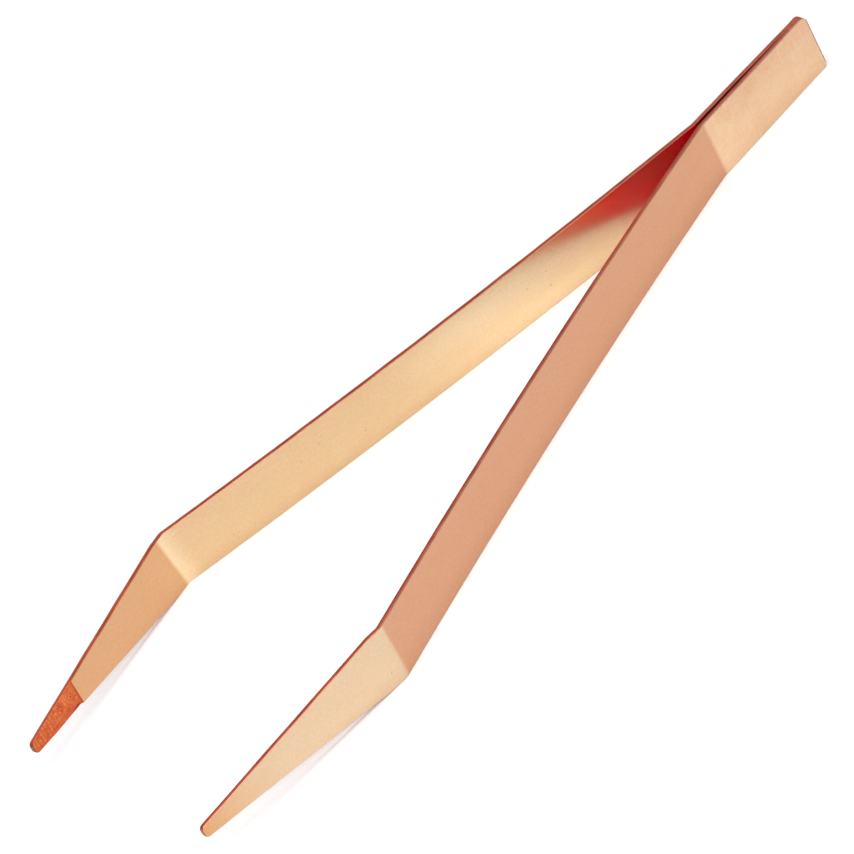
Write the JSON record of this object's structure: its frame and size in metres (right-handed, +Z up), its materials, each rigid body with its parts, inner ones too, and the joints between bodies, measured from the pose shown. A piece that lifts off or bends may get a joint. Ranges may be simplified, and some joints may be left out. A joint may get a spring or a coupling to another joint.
{
  "type": "sprung tongs",
  "caption": "Sprung copper tongs: flat strips joined at the tail, splayed shanks, elbows bent inward, and long tapered jaws with serrated tips.",
  "frame": {"origin": "centre of the outline that the tongs cover, on the plane of the long edges that they stand on", "axes": "+X along the tongs towards the welded tail, with the tips at -X; +Y across the opening towards the right strip; +Z up, across the strips' width"},
  "size_m": [0.2162, 0.0648, 0.014],
  "materials": {
    "copper_strip": "satin rolled copper, lightly brushed along the strip, with darker sheared edges",
    "copper_weld": "dull fused copper"
  },
  "bodies": {
    "tail": {"left_tail_leaf": "copper_strip", "right_tail_leaf": "copper_strip", "spot_welds": "copper_weld"},
    "left_arm": {"left_leg": "copper_strip"},
    "right_arm": {"right_leg": "copper_strip"}
  },
  "joints": [
    {"name": "left_flex", "type": "hinge", "parent": "tail", "child": "left_arm", "pos_m": [0.05462, -0.00436, 0.007], "axis": [0, 0, -1], "range_deg": [0, 9.5], "stiffness_Nm_per_rad": 2.35},
    {"name": "right_flex", "type": "hinge", "parent": "tail", "child": "right_arm", "pos_m": [0.05462, 0.00436, 0.007], "axis": [0, 0, 1], "range_deg": [0, 8], "stiffness_Nm_per_rad": 2.35}
  ]
}
